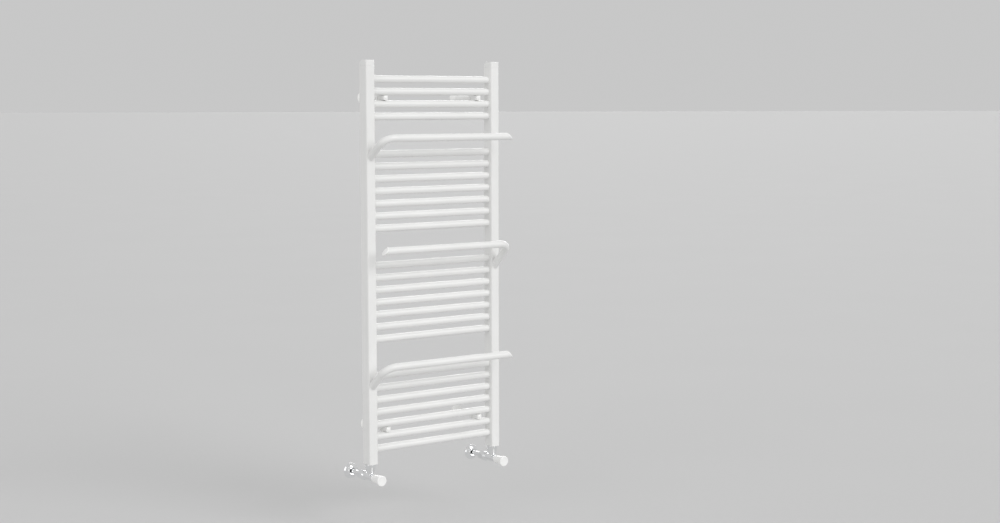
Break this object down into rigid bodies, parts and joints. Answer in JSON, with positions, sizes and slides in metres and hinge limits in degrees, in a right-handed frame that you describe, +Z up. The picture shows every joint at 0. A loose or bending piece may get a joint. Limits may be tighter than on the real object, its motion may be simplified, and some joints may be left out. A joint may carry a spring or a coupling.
{
  "type": "towel warmer rack",
  "caption": "Wall-hung ladder towel warmer: grouped round cross tubes between upright posts, bent towel arms in front, wall brackets and angle valves with handwheels.",
  "frame": {"origin": "on the wall plane, at the centre of the four wall brackets", "axes": "+Z up along the posts, +Y from the room into the wall, +X to the right as seen from the room"},
  "size_m": [0.498, 0.219, 1.265],
  "materials": {
    "white_enamel": "satin powder coat",
    "white_plastic": "gloss",
    "chrome": "polished",
    "brass": "machined"
  },
  "bodies": {
    "rack": {"left_post": "white_enamel", "right_post": "white_enamel", "left_post_cap": "white_enamel", "right_post_cap": "white_enamel", "cross_tube_01": "white_enamel", "cross_tube_02": "white_enamel", "cross_tube_03": "white_enamel", "cross_tube_04": "white_enamel", "cross_tube_05": "white_enamel", "cross_tube_06": "white_enamel", "cross_tube_07": "white_enamel", "cross_tube_08": "white_enamel", "cross_tube_09": "white_enamel", "cross_tube_10": "white_enamel", "cross_tube_11": "white_enamel", "cross_tube_12": "white_enamel", "cross_tube_13": "white_enamel", "cross_tube_14": "white_enamel", "cross_tube_15": "white_enamel", "cross_tube_16": "white_enamel", "cross_tube_17": "white_enamel", "cross_tube_18": "white_enamel", "cross_tube_19": "white_enamel", "cross_tube_20": "white_enamel", "cross_tube_21": "white_enamel", "cross_tube_22": "white_enamel", "cross_tube_23": "white_enamel", "cross_tube_24": "white_enamel", "cross_tube_25": "white_enamel", "towel_arm_top": "white_enamel", "towel_arm_middle": "white_enamel", "towel_arm_bottom": "white_enamel", "towel_arm_top_cap": "white_plastic", "towel_arm_middle_cap": "white_plastic", "towel_arm_bottom_cap": "white_plastic", "wall_foot_top_left": "white_plastic", "wall_foot_top_right": "white_plastic", "wall_foot_bottom_left": "white_plastic", "wall_foot_bottom_right": "white_plastic", "clamp_top_left": "white_plastic", "clamp_top_right": "white_plastic", "clamp_bottom_left": "white_plastic", "clamp_bottom_right": "white_plastic", "left_rosette": "chrome", "right_rosette": "chrome", "left_supply_pipe": "chrome", "right_supply_pipe": "chrome", "left_compression_nut": "chrome", "right_compression_nut": "chrome", "left_valve_body": "chrome", "right_valve_body": "chrome", "left_union_nut": "chrome", "right_union_nut": "chrome", "air_vent_plug": "chrome", "blind_plug": "chrome"},
    "left_wheel": {"left_handwheel": "white_plastic"},
    "left_valve_disc": {"left_spindle": "brass"},
    "right_wheel": {"right_handwheel": "white_plastic"},
    "right_valve_disc": {"right_spindle": "brass"},
    "vent_needle": {"air_vent_screw": "brass"}
  },
  "joints": [
    {"name": "left_wheel_turn", "type": "hinge", "parent": "rack", "child": "left_wheel", "pos_m": [-0.225, -0.158, -0.6355], "axis": [0, -1, 0], "range_deg": [0, 1080]},
    {"name": "left_disc_lift", "type": "slide", "parent": "rack", "child": "left_valve_disc", "axis": [0, -1, 0], "range_m": [0, 0.003]},
    {"name": "right_wheel_turn", "type": "hinge", "parent": "rack", "child": "right_wheel", "pos_m": [0.225, -0.158, -0.6355], "axis": [0, -1, 0], "range_deg": [0, 1080]},
    {"name": "right_disc_lift", "type": "slide", "parent": "rack", "child": "right_valve_disc", "axis": [0, -1, 0], "range_m": [0, 0.003]},
    {"name": "vent_screw_turn", "type": "hinge", "parent": "rack", "child": "vent_needle", "pos_m": [0.225, -0.086, 0.5632], "axis": [0, 1, 0], "range_deg": [0, 360]}
  ],
  "couplings": [
    {"joint": "left_disc_lift", "follows": "left_wheel_turn", "m_per_rad": 0.00015915},
    {"joint": "right_disc_lift", "follows": "right_wheel_turn", "m_per_rad": 0.00015915}
  ]
}
